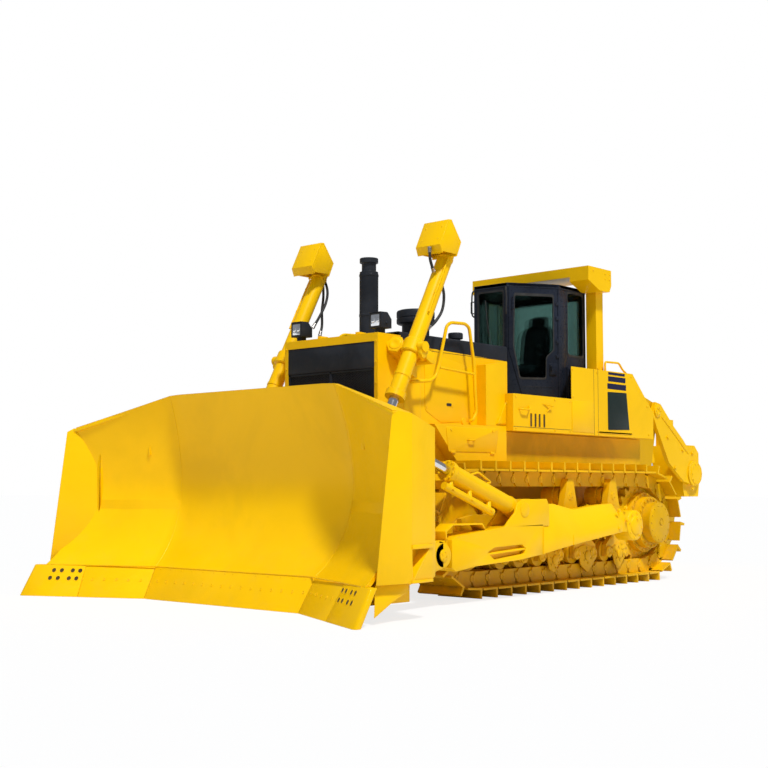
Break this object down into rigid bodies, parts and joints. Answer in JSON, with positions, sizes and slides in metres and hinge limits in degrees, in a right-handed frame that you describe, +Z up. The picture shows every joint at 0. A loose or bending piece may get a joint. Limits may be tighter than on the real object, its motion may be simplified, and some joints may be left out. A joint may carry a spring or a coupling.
{
  "type": "crawler bulldozer",
  "caption": "Heavy crawler bulldozer with semi-U blade, twin lift cylinders, hexagonal cab with roll-over frame, tracks on bogies and a rear ripper.",
  "frame": {"origin": "on the ground under the centre of the whole machine's box", "axes": "+X forward towards the blade, +Y to the machine's left, +Z up"},
  "size_m": [10.333, 5.274, 4.318],
  "materials": {
    "yellow": "semi-gloss paint",
    "dirty_yellow": "worn paint",
    "dark": "satin dark paint",
    "glass": "tinted",
    "chrome": "polished",
    "steel": "worn cast steel",
    "seat": "woven"
  },
  "bodies": {
    "tractor": {"main_frame": "steel", "platform_supports": "steel", "ripper_brackets": "steel", "equalizer_bar": "steel", "final_drives": "steel", "sprockets": "dirty_yellow", "idlers": "dirty_yellow", "track_rollers": "dirty_yellow", "carrier_rollers": "dirty_yellow", "bogies": "dirty_yellow", "track_frame_left": "steel", "track_frame_right": "steel", "track_left": "dirty_yellow", "track_right": "dirty_yellow", "radiator_guard": "yellow", "grille": "dark", "hood_top": "dark", "hood_panels": "yellow", "side_boxes": "yellow", "engine": "dark", "exhaust_stack": "dark", "air_cleaner": "dark", "work_lamps": "dark", "deck": "yellow", "fuel_tank": "yellow", "cab_frame": "dark", "cab_glass": "glass", "operator_seat": "seat", "rops": "yellow", "handrails": "yellow", "lift_yokes": "yellow"},
    "push_frame": {"push_arms": "yellow"},
    "blade": {"moldboard": "yellow", "blade_ends": "yellow", "blade_frame": "yellow", "wing_frames": "yellow", "cutting_edge": "yellow"},
    "lift_barrels": {"lift_cylinders": "yellow", "lift_covers": "yellow"},
    "lift_rods": {"lift_rods": "chrome"},
    "tilt_barrels": {"tilt_cylinders": "yellow"},
    "tilt_rods": {"tilt_rods": "chrome"},
    "door_left": {"cab_door_left": "dark", "door_glass_left": "glass"},
    "door_right": {"cab_door_right": "dark", "door_glass_right": "glass"},
    "ripper_arm": {"ripper_arm": "steel"},
    "ripper_links": {"ripper_links": "yellow"},
    "ripper_beam": {"ripper_beam": "yellow", "ripper_shank": "yellow"},
    "ripper_barrels": {"ripper_cylinders": "yellow"},
    "ripper_rods": {"ripper_rods": "chrome"}
  },
  "joints": [
    {"name": "blade_lift", "type": "hinge", "parent": "tractor", "child": "push_frame", "pos_m": [-0.7955, 0, 0.767], "axis": [0, -1, 0], "range_deg": [-8, 18]},
    {"name": "blade_pitch", "type": "hinge", "parent": "push_frame", "child": "blade", "pos_m": [3.0635, 0, 0.535], "axis": [0, -1, 0], "range_deg": [-4, 6]},
    {"name": "lift_cylinder_swing", "type": "hinge", "parent": "tractor", "child": "lift_barrels", "pos_m": [2.51025, 0, 2.8], "axis": [0, -1, 0], "range_deg": [-8.61, 19.36]},
    {"name": "lift_rod_slide", "type": "slide", "parent": "lift_barrels", "child": "lift_rods", "axis": [0.4698, 0, -0.8828], "range_m": [-1.21928, 0.5419]},
    {"name": "tilt_cylinder_swing", "type": "hinge", "parent": "push_frame", "child": "tilt_barrels", "pos_m": [1.6235, 0, 0.991], "axis": [0, -1, 0], "range_deg": [-2.02, 3.03]},
    {"name": "tilt_rod_slide", "type": "slide", "parent": "tilt_barrels", "child": "tilt_rods", "axis": [0.9455, 0, 0.3257], "range_m": [-0.0963, 0.0642]},
    {"name": "cab_door_left_hinge", "type": "hinge", "parent": "tractor", "child": "door_left", "pos_m": [-0.88079, 0.6776, 3.1], "axis": [0, 0, 1], "range_deg": [0, 82]},
    {"name": "cab_door_right_hinge", "type": "hinge", "parent": "tractor", "child": "door_right", "pos_m": [-0.88079, -0.6776, 3.1], "axis": [0, 0, -1], "range_deg": [0, 82]},
    {"name": "ripper_lift", "type": "hinge", "parent": "tractor", "child": "ripper_arm", "pos_m": [-3.4365, 0, 1.5], "axis": [0, 1, 0], "range_deg": [-25, 50]},
    {"name": "ripper_link_swing", "type": "hinge", "parent": "tractor", "child": "ripper_links", "pos_m": [-3.6565, 0, 2.401], "axis": [0, 1, 0], "range_deg": [-25.5, 50.5]},
    {"name": "ripper_beam_level", "type": "hinge", "parent": "ripper_arm", "child": "ripper_beam", "pos_m": [-4.4965, 0, 0.624], "axis": [0, 1, 0], "range_deg": [-50.5, 25.5]},
    {"name": "ripper_cylinder_swing", "type": "hinge", "parent": "tractor", "child": "ripper_barrels", "pos_m": [-3.4965, 0, 2.48], "axis": [0, -1, 0], "range_deg": [-20.45, 10.23]},
    {"name": "ripper_rod_slide", "type": "slide", "parent": "ripper_barrels", "child": "ripper_rods", "axis": [-0.3369, 0, -0.9416], "range_m": [-0.40302, 0.20151]}
  ],
  "couplings": [
    {"joint": "lift_cylinder_swing", "follows": "blade_lift", "ratio": 1.065},
    {"joint": "lift_rod_slide", "follows": "blade_lift", "m_per_rad": -3.8426},
    {"joint": "tilt_cylinder_swing", "follows": "blade_pitch", "ratio": 0.5},
    {"joint": "tilt_rod_slide", "follows": "blade_pitch", "m_per_rad": -0.91051},
    {"joint": "ripper_link_swing", "follows": "ripper_lift", "ratio": 1},
    {"joint": "ripper_beam_level", "follows": "ripper_lift", "ratio": -1},
    {"joint": "ripper_cylinder_swing", "follows": "ripper_lift", "ratio": -0.405},
    {"joint": "ripper_rod_slide", "follows": "ripper_lift", "m_per_rad": -0.45725}
  ]
}
